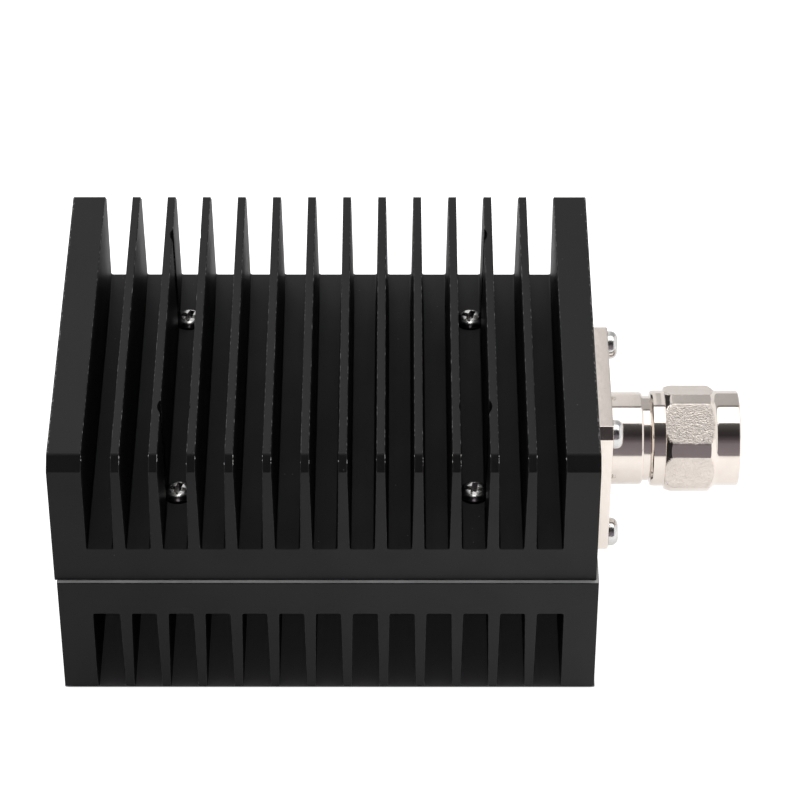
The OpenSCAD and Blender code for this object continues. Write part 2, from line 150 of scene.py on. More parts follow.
class ScrewSizes(bpy.types.PropertyGroup):
    """Pan-head screws and where they stand."""

    thread: length("Thread", "Nominal diameter of every screw", 3.0)
    head: length("Head", "Diameter of a pan head", 5.4)
    head_height: length("Head height", "Height of a pan head", 2.0)
    head_radius: length("Head radius", "Radius round the top of a pan head", 1.3)
    cross: length("Recess", "Width across the arms of the cross recess", 3.5)
    cross_arm: length("Recess arm", "Width of one arm of the cross recess", 1.15)
    cross_depth: length("Recess depth", "Depth of the cross recess", 1.4)
    clamp_length: length("Clamp screw", "Length of a clamp screw under its head", 12.0)
    flange_length: length("Flange screw", "Length of a flange screw under its head", 8.0)
    driver_bore: length("Driver bore", "Diameter of the bores between the fins", 6.1)
    clearance: length("Clearance hole", "Diameter of a clearance hole", 3.4)
    zinc: colour("Zinc", "Colour of the plated steel", "#e6e5e3")


class PlugSizes(bpy.types.PropertyGroup):
    """The plug's body: flange, boss, neck, journal and land."""

    flange: length("Flange", "Width and height of the square flange", 32.0)
    flange_thick: length("Flange thickness", "Thickness of the flange", 3.2)
    flange_cut: length("Corner cut", "Leg of the cut across each corner", 1.85)
    flange_turn: angle("Flange turn", "Angle that the flange stands turned", 1.1)
    boss: length("Boss", "Diameter of the boss", 17.8)
    boss_length: length("Boss length", "Length of the boss", 6.5)
    boss_bevel: length("Boss bevel", "Length of the bevel on the boss", 0.35)
    bevel_slope: angle("Bevel slope", "Of the boss and collar bevels to the axis", 28)
    neck: length("Neck", "Diameter of the neck behind the nut", 16.3)
    neck_length: length("Neck length", "Length of the neck that shows", 1.55)
    journal: length("Journal", "Diameter that the nut turns on", 15.0)
    land: length("Land", "Diameter of the land in front of the ring", 14.5)
    land_length: length("Land length", "Length of that land", 1.05)
    ring_in: length("Ring depth", "How deep the retaining ring sits", 0.65)
    rear_bore: length("Rear bore", "Bore for the rear insulator", 10.24)
    front_bore: length("Front bore", "Bore for the outer contact", 8.64)
    front_bore_start: length("Front bore start", "Station where that bore starts", 12.55)
    nickel: colour("Nickel", "Colour of the bright nickel plate", "#f0e6dd")


class NutSizes(bpy.types.PropertyGroup):
    """The coupling nut: collar, hexagon, nose and thread."""

    flats: length("Across flats", "Width across the flats of the hexagon", 19.05)
    corners: length("Across corners", "Diameter that the corners are turned to", 20.7)
    collar: length("Collar", "Diameter of the collar behind the hexagon", 18.45)
    collar_length: length("Collar length", "Length of the collar", 2.65)
    collar_bevel: length("Collar bevel", "Length of the bevel on the collar", 0.42)
    hexagon_length: length("Hexagon length", "Length of the hexagon", 9.7)
    rear_bevel: length("Rear bevel", "Diameter where the rear bevel starts", 19.55)
    rear_slope: angle("Rear slope", "Angle of the rear bevel to the nut's axis", 25)
    nose: length("Nose", "Diameter of the nose", 18.3)
    nose_length: length("Nose length", "Length of the nose", 4.6)
    shoulder: length("Shoulder", "Hollow radius between the hexagon and the nose", 1.2)
    nose_bevel: length("Nose bevel", "Bevel round the nose's two edges", 0.25)
    turn: angle("Turn", "Angle that the nut stands turned", -27.7)
    lip: length("Lip", "Bore of the lip on the journal", 15.14)
    groove: length("Groove", "Diameter of the groove for the ring", 16.8)
    ring_back: length("Ring set-back", "How far the ring starts behind the hexagon", 0.5)
    ring_width: length("Ring width", "Width of the retaining ring", 1.2)
    thread: length("Thread", "Major diameter of the coupling thread", 15.9)
    thread_minor: length("Thread minor", "Minor diameter of the coupling thread", 14.74)
    pitch: length("Pitch", "Pitch of 24 turns to the inch", 25.4 / 24)
    blend: length("Edge softness", "How far plating rounds the hexagon's edges", 0.035)


class StudioSettings(bpy.types.PropertyGroup):
    """Camera, lamp, room and floor."""

    distance: length("Camera distance", "From the camera to what it looks at", 715.35)
    elevation: angle("Elevation", "Of the camera above the horizon", 40.967)
    azimuth: angle("Azimuth", "Of the camera, from straight in front", -0.063)
    roll: angle("Roll", "Of the camera", 0.061)
    lens: FloatProperty(name="Lens", description="In millimetres on a 36 mm sensor", default=168.16)
    lamp_width: length("Lamp width", "Length of the softbox along X", 1800.0)
    lamp_depth: length("Lamp depth", "Width of the softbox along Y", 820.0)
    lamp_height: length("Lamp height", "Of the softbox over the floor", 1000.0)
    lamp_back: length("Lamp offset", "How far its middle stands behind the plug", 210.0)
    lamp_level: FloatProperty(name="Lamp level", description="Radiance of the softbox", default=1.6)
    fill: FloatProperty(name="Fill", description="Radiance of the fill from the sides", default=0.8)
    room: length("Room radius", "Radius of the round studio room", 1500.0)
    floor: colour("Floor", "Colour of the pale floor", "#e7e7e7")
    # Painted shade: the grey painted on the floor under the fins' tips, where their shadow falls
    contact: colour("Contact", "Colour of the floor under the part", "#b4b4b4")
    floor_glow: FloatProperty(
        name="Floor glow", description="Light added to the floor where it is seen", default=0.95
    )
    mirrored_glow: FloatProperty(
        name="Mirrored glow", description="The same, where the metal mirrors it", default=0.55
    )


def put(tree, kind, sockets=(), stops=(), **settings):
    """Adds one node, with its sockets given by name or in their order.

    A socket takes a value, an output, or a node whose first output feeds it.
    """
    node = tree.nodes.new(kind)
    for name, value in settings.items():
        setattr(node, name, value)
    for place, value in sockets.items() if isinstance(sockets, dict) else enumerate(sockets):
        if isinstance(value, bpy.types.Node):
            value = value.outputs[0]
        if isinstance(value, bpy.types.NodeSocket):
            tree.links.new(value, node.inputs[place])
        else:
            node.inputs[place].default_value = value
    ramp = node.color_ramp.elements if stops else ()
    while len(ramp) < len(stops):
        ramp.new(0.5)
    for element, (position, shade) in zip(ramp, stops):
        element.position = position
        element.color = shade
    return node


def new_material(name):
    """A node material, its tree with nothing else in it, and the object's coordinates."""
    material = bpy.data.materials.new(name)
    material.use_nodes = True
    tree = material.node_tree
    tree.nodes.clear()
    return material, tree, put(tree, "ShaderNodeTexCoord").outputs["Object"]


def finish_surface(material, tree, sockets):
    """Ends a tree in a Principled shader with these sockets."""
    shader = put(tree, "ShaderNodeBsdfPrincipled", sockets)
    put(tree, "ShaderNodeOutputMaterial", {"Surface": shader})
    return material


def pattern(tree, where, grain, detail=2.0, distortion=0.0):
    """A noise whose grains are that long along X, Y and Z, in millimetres."""
    scale = [1 / (g * MM) for g in grain]
    scaled = put(tree, "ShaderNodeMapping", {"Vector": where, "Scale": scale})
    noise = {"Vector": scaled, "Scale": 1.0, "Detail": detail, "Distortion": distortion}
    return put(tree, "ShaderNodeTexNoise", noise)


def around_plug(tree, where):
    """Station along the plug and distance from its axis, as a vector: lathe marks follow it."""
    parts = put(tree, "ShaderNodeSeparateXYZ", {"Vector": where})
    up = put(tree, "ShaderNodeMath", (parts.outputs["Z"], AXIS.z), operation="SUBTRACT")
    across = put(tree, "ShaderNodeCombineXYZ", {"X": parts.outputs["Y"], "Y": up})
    out = put(tree, "ShaderNodeVectorMath", (across,), operation="LENGTH").outputs["Value"]
    return put(tree, "ShaderNodeCombineXYZ", {"X": parts.outputs["X"], "Y": out})


def tinted(shade, factor):
    """The same colour, lighter or darker."""
    return [min(1.0, c * factor) for c in shade[:3]] + [1.0]


def patterned(tree, shade, tint, rough, relief, span=NOISE_SPAN):
    """Sockets that noises vary.

    tint is a noise and the factors of the shade at its low and high ends, rough
    is one and the roughness at both, and relief is one and its depth in
    millimetres.
    """
    stops = [(0.3, tinted(shade, tint[1])), (0.7, tinted(shade, tint[2]))]
    height = {"Height": relief[0], "Distance": relief[1] * MM, "Strength": 1.0}
    return {
        "Base Color": put(tree, "ShaderNodeValToRGB", {"Fac": tint[0]}, stops),
        "Roughness": put(tree, "ShaderNodeMapRange", (rough[0], *span, *rough[1:])),
        "Normal": put(tree, "ShaderNodeBump", height),
    }


def black_anodise(shade, worn):
    """Extruded aluminium, matt etched and anodised black.

    The dye leaves it nearly black, so what shows is a broad soft sheen. The
    etch gives a fine grain, the die's lines run along the fins, and the dye
    has rubbed off in dots along the long edges of the tips.
    """
    material, tree, where = new_material("anodised_aluminium_black")
    die_lines = pattern(tree, where, (0.22, 60, 0.22))
    # Etched grain is near 0.05 mm; it is drawn at 0.3 mm so that it shows
    etch = pattern(tree, where, (0.3, 0.3, 0.3))
    handling = pattern(tree, where, (11, 19, 11), detail=4.0)
    tint, rough = (handling, 0.75, 1.3), (handling, 0.43, 0.51)
    sockets = patterned(tree, shade, tint, rough, (die_lines, 0.010))
    # Rubs are 0.2 to 1 mm long, with whole edges between them
    rub = pattern(tree, where, (0.35, 0.8, 0.35), detail=3.0)
    edge = put(tree, "ShaderNodeAttribute", attribute_name="worn").outputs["Fac"]
    rubbed = put(tree, "ShaderNodeMapRange", (rub, 0.52, 0.66))
    bare = put(tree, "ShaderNodeMath", (rubbed, edge), operation="MULTIPLY")
    # Dust settles in specks of about 0.15 mm, a few to each square centimetre
    cells = {"Vector": where, "Scale": 1 / (1.7 * MM)}
    cells = put(tree, "ShaderNodeTexVoronoi", cells, feature="F1").outputs
    near = put(tree, "ShaderNodeMapRange", (cells["Distance"], 0.05, 0.09, 1, 0))
    chosen = put(tree, "ShaderNodeMath", (cells["Color"], 0.78), operation="GREATER_THAN")
    dust = put(tree, "ShaderNodeMath", (near, chosen), operation="MULTIPLY")
    pale = put(tree, "ShaderNodeMath", (dust, 0.3, bare), operation="MULTIPLY_ADD")
    mixed = {0: pale, 6: sockets["Base Color"], 7: worn}
    surface = put(tree, "ShaderNodeMix", mixed, data_type="RGBA", clamp_factor=True)
    grain = {"Height": etch, "Distance": 0.012 * MM, "Strength": 1.0, "Normal": sockets["Normal"]}
    sockets["Base Color"] = surface.outputs[2]
    sockets["Normal"] = put(tree, "ShaderNodeBump", grain)
    return finish_surface(material, tree, sockets | {"IOR": 1.372})


def milled_aluminium(shade):
    """Bare aluminium, face milled where the two heat sinks meet: satin, with cutter lines."""
    material, tree, where = new_material("aluminium_face_milled")
    feed = pattern(tree, where, (0.25, 25, 0.25))
    stain = pattern(tree, where, (6, 6, 6), detail=3.0)
    sockets = patterned(tree, shade, (stain, 0.8, 1.0), (feed, 0.62, 0.74), (feed, 0.006))
    return finish_surface(material, tree, sockets | {"Metallic": 0.3})


def turned_nickel(shade):
    """Brass turned on a lathe, then bright nickel plated.

    It mirrors the studio in bands along the plug, and the tool's feed marks
    under the plate blur those bands a little.
    """
    material, tree, where = new_material("nickel_plate_on_turned_brass")
    # Feed marks are near 0.08 mm; they are drawn at 0.14 mm so that they show
    feed = pattern(tree, around_plug(tree, where), (0.14, 0.14, 1000))
    cloud = pattern(tree, where, (2.5, 2.5, 2.5), detail=3.0)
    sockets = patterned(tree, shade, (cloud, 0.94, 1.0), (cloud, 0.08, 0.13), (feed, 0.0012))
    return finish_surface(material, tree, sockets | {"Metallic": 1.0})


def tumbled_nickel(shade):
    """The flange: stamped brass, tumbled and nickel plated: a soft mirror with shallow dents."""
    material, tree, where = new_material("nickel_plate_on_tumbled_brass")
    dents = pattern(tree, where, (0.9, 1.6, 1.6), detail=1.0)
    cloud = pattern(tree, where, (2, 5, 5), detail=3.0)
    sockets = patterned(tree, shade, (cloud, 1.05, 1.11), (dents, 0.15, 0.22), (dents, 0.005))
    return finish_surface(material, tree, sockets | {"Metallic": 1.0})


def crinkled_nickel(shade):
    """The nut: lathe-bright where it was turned, with the drawn bar's crinkled skin on its flats.

    The skin's folds lie mostly along the bar. Each tilts enough to catch the
    lamp or lose it, so a flat shows short bright and dark worms.
    """
    material, tree, where = new_material("nickel_plate_on_hexagon_bar")
    skin = put(tree, "ShaderNodeAttribute", attribute_name="bar_skin").outputs["Fac"]
    feed = pattern(tree, around_plug(tree, where), (0.14, 0.14, 1000))
    cloud = pattern(tree, where, (2.5, 2.5, 2.5), detail=3.0)
    tint, rough = (cloud, 0.94, 1.0), (skin, 0.09, 0.32)
    sockets = patterned(tree, shade, tint, rough, (feed, 0.0012), span=(0, 1))
    # The folds are about 0.5 mm long and 0.3 mm wide
    folds = pattern(tree, where, (0.46, 0.27, 0.27), detail=1.0, distortion=1.1)
    height = put(tree, "ShaderNodeMath", (folds, skin), operation="MULTIPLY")
    folded = {"Height": height, "Distance": 0.145 * MM, "Strength": 1.0, "Normal": sockets["Normal"]}
    sockets["Normal"] = put(tree, "ShaderNodeBump", folded)
    return finish_surface(material, tree, sockets | {"Metallic": 1.0})


def zinc_plated(shade):
    """Steel screws, cold headed and bright zinc plated: a soft mirror with small dimples."""
    material, tree, where = new_material("zinc_plated_steel")
    dimples = pattern(tree, where, (0.35, 0.35, 0.35))
    tint, rough = (dimples, 0.88, 1.0), (dimples, 0.13, 0.24)
    sockets = patterned(tree, shade, tint, rough, (dimples, 0.008))
    return finish_surface(material, tree, sockets | {"Metallic": 1.0})


def plain_metal(name, shade, rough, feed=0.14):
    """A turned or drawn metal piece with feed marks: gold plate, bronze wire, plated copper."""
    material, tree, where = new_material(name)
    marks = pattern(tree, around_plug(tree, where), (feed, feed, 1000))
    cloud = pattern(tree, where, (1.5, 1.5, 1.5))
    rough = (cloud, rough * 0.85, rough * 1.2)
    sockets = patterned(tree, shade, (cloud, 0.88, 1.0), rough, (marks, 0.0012))
    return finish_surface(material, tree, sockets | {"Metallic": 1.0})


def plain_solid(name, shade, rough, ior, grain, depth, soft=0.0):
    """A non-metal piece with its own grain: turned PTFE, silicone, ceramic or graphite."""
    material, tree, where = new_material(name)
    marks = pattern(tree, where, (grain, grain, grain), detail=3.0)
    rough = (marks, rough * 0.9, rough * 1.1)
    sockets = patterned(tree, shade, (marks, 0.9, 1.0), rough, (marks, depth))
    sockets |= {"IOR": ior, "Subsurface Weight": soft, "Subsurface Scale": 0.6 * MM}
    return finish_surface(material, tree, sockets)


def rounded_outline(corners, steps):
    """Points of a closed outline. A corner is (x, y), or (x, y, radius) to be rounded in steps."""
    points = []
    for k, (x, y, *radius) in enumerate(corners):
        here = Vector((x, y))
        if not radius:
            points.append(here)
            continue
        back = (Vector(corners[k - 1][:2]) - here).normalized()
        ahead = (Vector(corners[(k + 1) % len(corners)][:2]) - here).normalized()
        half = back.angle(ahead) / 2
        centre = here + (back + ahead).normalized() * radius[0] / math.sin(half)
        start = here + back * radius[0] / math.tan(half) - centre
        end = here + ahead * radius[0] / math.tan(half) - centre
        first = math.atan2(start.y, start.x)
        sweep = (math.atan2(end.y, end.x) - first + math.pi) % (2 * math.pi) - math.pi
        for i in range(steps + 1):
            a = first + sweep * i / steps
            points.append(centre + radius[0] * Vector((math.cos(a), math.sin(a))))
    return points


def placed(name, data):
    """A new object in the scene."""
    made = bpy.data.objects.new(name, data)
    bpy.context.scene.collection.objects.link(made)
    return made


def mesh_object(name, rings, faces):
    """A new mesh object from rings of points, with its normals outwards."""
    mesh = bpy.data.meshes.new(name)
    mesh.from_pydata([tuple(point) for ring in rings for point in ring], [], faces)
    tidy = bmesh.new()
    tidy.from_mesh(mesh)
    bmesh.ops.remove_doubles(tidy, verts=tidy.verts, dist=1e-8)
    bmesh.ops.recalc_face_normals(tidy, faces=tidy.faces)
    tidy.to_mesh(mesh)
    tidy.free()
    return placed(name, mesh)


def sides(rings, closed=False):
    """The faces between rings of points; closed joins the last ring to the first."""
    count = len(rings[0])
    faces = []
    for i in range(len(rings) if closed else len(rings) - 1):
        j = (i + 1) % len(rings)
        for k in range(count):
            m = (k + 1) % count
            faces.append((i * count + k, i * count + m, j * count + m, j * count + k))
    return faces


def capped_object(name, rings):
    """A solid through rings of points, with a face across the first and across the last."""
    count, last = len(rings[0]), (len(rings) - 1) * len(rings[0])
    caps = [range(count), range(last, last + count)]
    return mesh_object(name, rings, caps + sides(rings))


def turned_object(name, corners, steps=96, rounding=4, place=None):
    """A solid turned about X from corners in stations and radii, as rounded_outline takes them."""
    angles = [2 * math.pi * k / steps for k in range(steps)]
    rings = [
        [Vector((p.x, p.y * math.cos(a), p.y * math.sin(a))) for a in angles]
        for p in rounded_outline(corners, rounding)
    ]
    made = mesh_object(name, rings, sides(rings, closed=True))
    if place is not None:
        made.matrix_world = place
    return made


def join(name, pieces):
    """Joins objects into one mesh, with their places in it, and removes them."""
    bpy.context.view_layer.update()
    joined = bmesh.new()
    for piece in pieces:
        mesh = piece.data.copy()
        mesh.transform(piece.matrix_world)
        joined.from_mesh(mesh)
        bpy.data.meshes.remove(mesh)
        bpy.data.objects.remove(piece)
    mesh = bpy.data.meshes.new(name)
    joined.to_mesh(mesh)
    joined.free()
    return placed(name, mesh)


def combine(piece, tool, operation="DIFFERENCE"):
    """Cuts or adds a tool to a piece, and removes the tool."""
    bpy.context.view_layer.update()
    change = piece.modifiers.new(operation, "BOOLEAN")
    change.object = tool
    change.operation = operation
    change.solver = "EXACT"
    apply_modifiers(piece)
    bpy.data.objects.remove(tool)
    return piece


def apply_modifiers(piece):
    """Gives a piece the mesh that its modifiers make."""
    graph = bpy.context.evaluated_depsgraph_get()
    mesh = bpy.data.meshes.new_from_object(piece.evaluated_get(graph))
    piece.modifiers.clear()
    piece.data = mesh
    return piece


def smooth(piece, degrees=30.0):
    """Smooth shading with crisp edges, and flat faces kept flat."""
    piece.data.shade_smooth()
    piece.data.set_sharp_from_angle(angle=math.radians(degrees))
    weighted = piece.modifiers.new("flat faces", "WEIGHTED_NORMAL")
    weighted.keep_sharp = True
    weighted.weight = 100
    return apply_modifiers(piece)


def dress(piece, body, nodes, slot, *materials):
    """Gives a piece its materials and its body, and hides the nodes that it stands for. Its slot is
    not used.
    """
    piece.data.materials.clear()
    for material in materials:
        piece.data.materials.append(material)
    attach(piece, body)
    if nodes:
        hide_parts(*nodes)
    return piece


def fin_places(sizes, half):
    """Middle of each fin, from the middle of the heat sink."""
    pitch = (2 * half - 2 * sizes.wall + sizes.tip) / (sizes.fins + 1)
    return [(i - (sizes.fins + 1) / 2) * pitch for i in range(1, sizes.fins + 1)]


def mirrored(corners):
    """The same corners on the other side of the middle, in the order that goes on round."""
    return [(-x, *rest) for x, *rest in reversed(corners)]


def section_corners(sizes, half, height, fold):
    """Corners of the extrusion's section, plate down. It stops at the fold on both sides of a tip."""
    lean = (sizes.root - sizes.tip) / 2 / (height - sizes.plate)
    inner = half - sizes.wall
    wall = [
        (half, fold),
        (half, height, sizes.outer_radius),
        (inner, height, sizes.tip_radius),
        (inner, fold),
        (inner, sizes.plate, sizes.root_radius),
    ]
    flank = [
        (sizes.root / 2, sizes.plate, sizes.root_radius),
        (sizes.root / 2 - (fold - sizes.plate) * lean, fold),
        (sizes.tip / 2, height, sizes.tip_radius),
    ]
    fin = flank + mirrored(flank)
    fins = [(x + out, *rest) for x in reversed(fin_places(sizes, half)) for out, *rest in fin]
    seam = [(-half, 0.0, sizes.tip_radius / 2), (half, 0.0, sizes.tip_radius / 2)]
    return seam + wall + fins + mirrored(wall)


def inset(outline, amount):
    """Moves each point of a closed outline inwards."""
    moved = []
    for k, point in enumerate(outline):
        along = (outline[(k + 1) % len(outline)] - outline[k - 1]).normalized()
        moved.append(point + amount * Vector((-along.y, along.x)))
    return moved


def extrusion(name, sizes, box):
    """A finned extrusion, plate down, with bevelled tips and broken edges at both ends."""
    half = (box[1].x - box[0].x) / 2
    depth = (box[1].y - box[0].y) / 2
    height = box[1].z - box[0].z
    fold = height - sizes.tip_bevel
    outline = rounded_outline(section_corners(sizes, half, height, fold), 4)
    on_fold = [abs(p.y - fold) < 1e-7 for p in outline]
    above = [p.y > fold - 1e-7 for p in outline]
    rings = []
    # The round at an end goes through three rings: shares of how far in and how far back
    steps = [(1.0, 0.0), (0.3, 0.3), (0.0, 1.0)]
    for end in (-1, 1):
        for inwards, back in steps[::-end]:
            ring = []
            moved = inset(outline, inwards * sizes.edge_break)
            for k, point in enumerate(outline):
                if above[k] and not on_fold[k]:
                    drop = (point.y - moved[k].y) * sizes.tip_soft / sizes.edge_break
                    z = max(fold + 0.1 * MM, point.y - drop)
                    reach = depth - (z - fold) - back * sizes.tip_soft
                else:
                    z = fold if on_fold[k] else moved[k].y
                    reach = depth - back * sizes.edge_break
                ring.append(Vector((moved[k].x, end * reach, z)))
            rings.append(ring)
    count = len(outline)
    faces = sides(rings)
    for first in (0, (len(rings) - 1) * count):
        faces.append([first + k for k in range(count) if not above[k] or on_fold[k]])
        tip = []
        start = on_fold.index(True)
        for step in range(count + 1):
            k = (start + step) % count
            if above[k] and step < count:
                tip.append(first + k)
            if tip and on_fold[k] and len(tip) > 1:
                faces.append(tip)
                tip = []
    return mesh_object(name, rings, faces)


def screw_places(node, station):
    """Where a node's screws stand, at that station along them, with X along each screw."""
    upright = node != "flange_screws"
    # Farther than any two points of one screw, and nearer than two screws
    apart = 8 * MM
    screws = []
    for vertex in frame["nodes"][node].data.vertices:
        point = vertex.co.xy if upright else vertex.co.yz
        near = [screw for screw in screws if (screw[0] - point).length < apart]
        if near:
            near[0].append(point)
        else:
            screws.append([point])
    places = []
    for screw in screws:
        spans = [[point[i] for point in screw] for i in (0, 1)]
        a, b = ((min(span) + max(span)) / 2 for span in spans)
        if upright:
            places.append(Matrix.Translation((a, b, station)) @ STAND)
        else:
            places.append(Matrix.Translation((station, a, b)))
    return places


def rods(places, radius, low, high, steps=64):
    """A round cutter along X at each place, from low to high."""
    corners = [(low, 0.0), (low, radius), (high, radius), (high, 0.0)]
    return [turned_object("rod", corners, steps, place=place) for place in places]


def driver_bores(screws, seat, top):
    """Cutters for the driver bores, their seats and the clearance holes through the plate."""
    low = SEAM_Z - 2 * OVER
    corners = [
        (low, 0.0),
        (low, screws.clearance / 2),
        (seat, screws.clearance / 2),
        (seat, screws.driver_bore / 2, 0.15 * MM),
        (top, screws.driver_bore / 2),
        (top, 0.0),
    ]
    places = screw_places("clamp_screws", 0.0)
    return [turned_object("bore", corners, 72, place=place) for place in places]


def tapped_holes(screws, seat):
    """Cutters for the clamp screws' and the resistor screws' holes in the lower heat sink."""
    radius = screws.thread / 2 + TAP_PLAY
    deepest = seat - screws.clamp_length - TAP_OVER
    holes = rods(screw_places("clamp_screws", 0.0), radius, deepest, SEAM_Z + OVER, 48)
    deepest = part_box("resistor_screws")[0].z - TAP_OVER / 2
    return holes + rods(screw_places("resistor_screws", 0.0), radius, deepest, SEAM_Z, 48)


def shared_cuts(piece, sizes, screws, plug):
    """The pocket for the resistor, the way in for the insulator and the flange's tapped holes."""
    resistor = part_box("resistor_flange")
    run = 1.2 * MM
    headroom = 2.8 * MM
    corner = 2 * MM
    left, right = resistor[0].x - run, SEAT_X - sizes.passage_depth
    reach = resistor[1].y + run
    square = ((left, -reach), (right, -reach), (right, reach), (left, reach))
    outline = rounded_outline([(x, y, corner) for x, y in square], 6)
    levels = (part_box("thermal_pad")[0].z, SEAM_Z + headroom)
    combine(piece, capped_object("pocket", [[(p.x, p.y, z) for p in outline] for z in levels]))
    plug_place = Matrix.Translation((SEAT_X, 0.0, AXIS.z))
    way_in = rods([plug_place], sizes.passage / 2, -sizes.passage_depth - OVER, OVER)
    combine(piece, *way_in)
    deepest = plug.flange_thick - screws.flange_length - TAP_OVER
    places = screw_places("flange_screws", SEAT_X)
    taps = rods(places, screws.thread / 2 + TAP_PLAY, deepest, OVER)
    combine(piece, join("taps", taps))


def bare_seam(piece):
    """Marks the faces on the seam as bare milled metal."""
    for face in piece.data.polygons:
        if abs(face.normal.z) > 0.99 and abs(face.center.z - SEAM_Z) < 0.01 * MM:
            face.material_index = 1


def worn_edges(piece, box, tip, sizes):
    """Marks where the dye rubs off: the rounds along the fins' tips and, less, the sawn ends."""
    middle = (box[0].y + box[1].y) / 2
    depth = (box[1].y - box[0].y) / 2
    mesh = piece.data
    marks = [0.0] * len(mesh.loops)
    for face in mesh.polygons:
        if abs(face.normal.y) > 0.2 and abs(face.normal.x) < 0.1:
            continue
        for loop in face.loop_indices:
            place = mesh.vertices[mesh.loops[loop].vertex_index].co
            down = abs(place.z - tip)
            back = depth - max(0.0, sizes.tip_bevel - down) - abs(place.y - middle)
            # Half-way round a tip's edge, or half-way round the broken edge of an end
            if 0.03 * MM < down < 0.15 * MM:
                marks[loop] = 1.0
            elif 0.02 * MM < back < 0.06 * MM:
                marks[loop] = 0.4
    mesh.attributes.new("worn", "FLOAT", "CORNER").data.foreach_set("value", marks)


class TERMINATION_OT_heatsinks(bpy.types.Operator):
    """Make the two black finned heat sinks"""

    bl_idname = "termination.heatsinks"
    bl_label = "Heat sinks"

    def execute(self, context):
        sizes = context.scene.termination_heatsink
        screws = context.scene.termination_screws
        plug = context.scene.termination_plug
        anodise = black_anodise(sizes.anodise, sizes.worn)
        bare = milled_aluminium(sizes.bare)
        head_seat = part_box("clamp_screws")[1].z - screws.head_height
        for side, box, tip, flip in (
            ("upper", UPPER, UPPER[1].z, 1),
            ("lower", LOWER, LOWER[0].z, -1),
        ):
            piece = extrusion(side + "_extrusion", sizes, box)
            middle = (box[0] + box[1]) / 2
            place = Matrix.Translation((middle.x, middle.y, SEAM_Z))
            piece.data.transform(place @ Matrix.Scale(flip, 4, (0, 0, 1)))
            if side == "lower":
                piece.data.flip_normals()
            shared_cuts(piece, sizes, screws, plug)
            if side == "upper":
                holes = driver_bores(screws, head_seat, tip + OVER)
            else:
                holes = tapped_holes(screws, head_seat)
            combine(piece, join("holes", holes))
            smooth(piece)
            slot = "black_anodised_aluminium"
            dress(piece, "termination", [side + "_heatsink"], slot, anodise, bare)
            bare_seam(piece)
            worn_edges(piece, box, tip, sizes)
        return {"FINISHED"}


# The faces of a sliver, which has its two points first
SLIVER = [(0, 2, 4), (0, 4, 3), (0, 3, 5), (0, 5, 2), (1, 4, 2), (1, 3, 4), (1, 5, 3), (1, 2, 5)]


def sliver(start, along, across, long, wide):
    """The six corners of a thin pointed burr."""
    up = along.cross(across).normalized()
    middle = start + along * long / 2
    ways = (across, -across, up, -up)
    return [start, start + along * long, *(middle + way * wide for way in ways)]


class TERMINATION_OT_burrs(bpy.types.Operator):
    """Make the bright burrs that the tip bevels' cutter left along the fins' edges"""

    bl_idname = "termination.burrs"
    bl_label = "Burrs"

    def execute(self, context):
        sizes = context.scene.termination_heatsink
        chance = random.Random(24)
        half = (UPPER[1].x - UPPER[0].x) / 2
        depth = (UPPER[1].y - UPPER[0].y) / 2
        middle = (UPPER[0] + UPPER[1]) / 2
        fins = fin_places(sizes, half)
        # Place of each edge, the way it faces, and the most burrs on it
        edges = [(x + sizes.tip / 2, 1, 4) for x in fins]
        edges += [(x - sizes.tip / 2, -1, 2) for x in fins]
        edges += [(sizes.wall - half, 1, 3), (half - sizes.wall, -1, 3)]
        # How much the fins' sides lean, and how deep a burr stands in its fin
        lean = 0.016
        sunk = 0.02 * MM
        corners, faces = [], []
        for end in (-1, 1):
            along = Vector((0, -end, 1)).normalized()
            for x, side, most in edges:
                for _ in range(chance.randint(most // 2, most)):
                    up = sizes.tip_bevel * chance.uniform(0.3, 0.82)
                    out = (sizes.tip_bevel - up) * lean - sunk
                    y = middle.y + end * (depth - up)
                    z = UPPER[1].z - sizes.tip_bevel + up
                    start = Vector((middle.x + x + side * out, y, z))
                    long = sizes.burr * chance.uniform(0.3, 1.3)
                    wide = chance.uniform(0.03, 0.07) * MM
                    faces += [tuple(len(corners) + i for i in face) for face in SLIVER]
                    corners += sliver(start, along, Vector((1, 0, 0)), long, wide)
        burrs = mesh_object("fin_burrs", [corners], faces)
        bright = plain_metal("aluminium_burr_bare", linear("#e6e4e2"), 0.3)
        dress(burrs, "termination", [], "black_anodised_aluminium", bright)
        return {"FINISHED"}


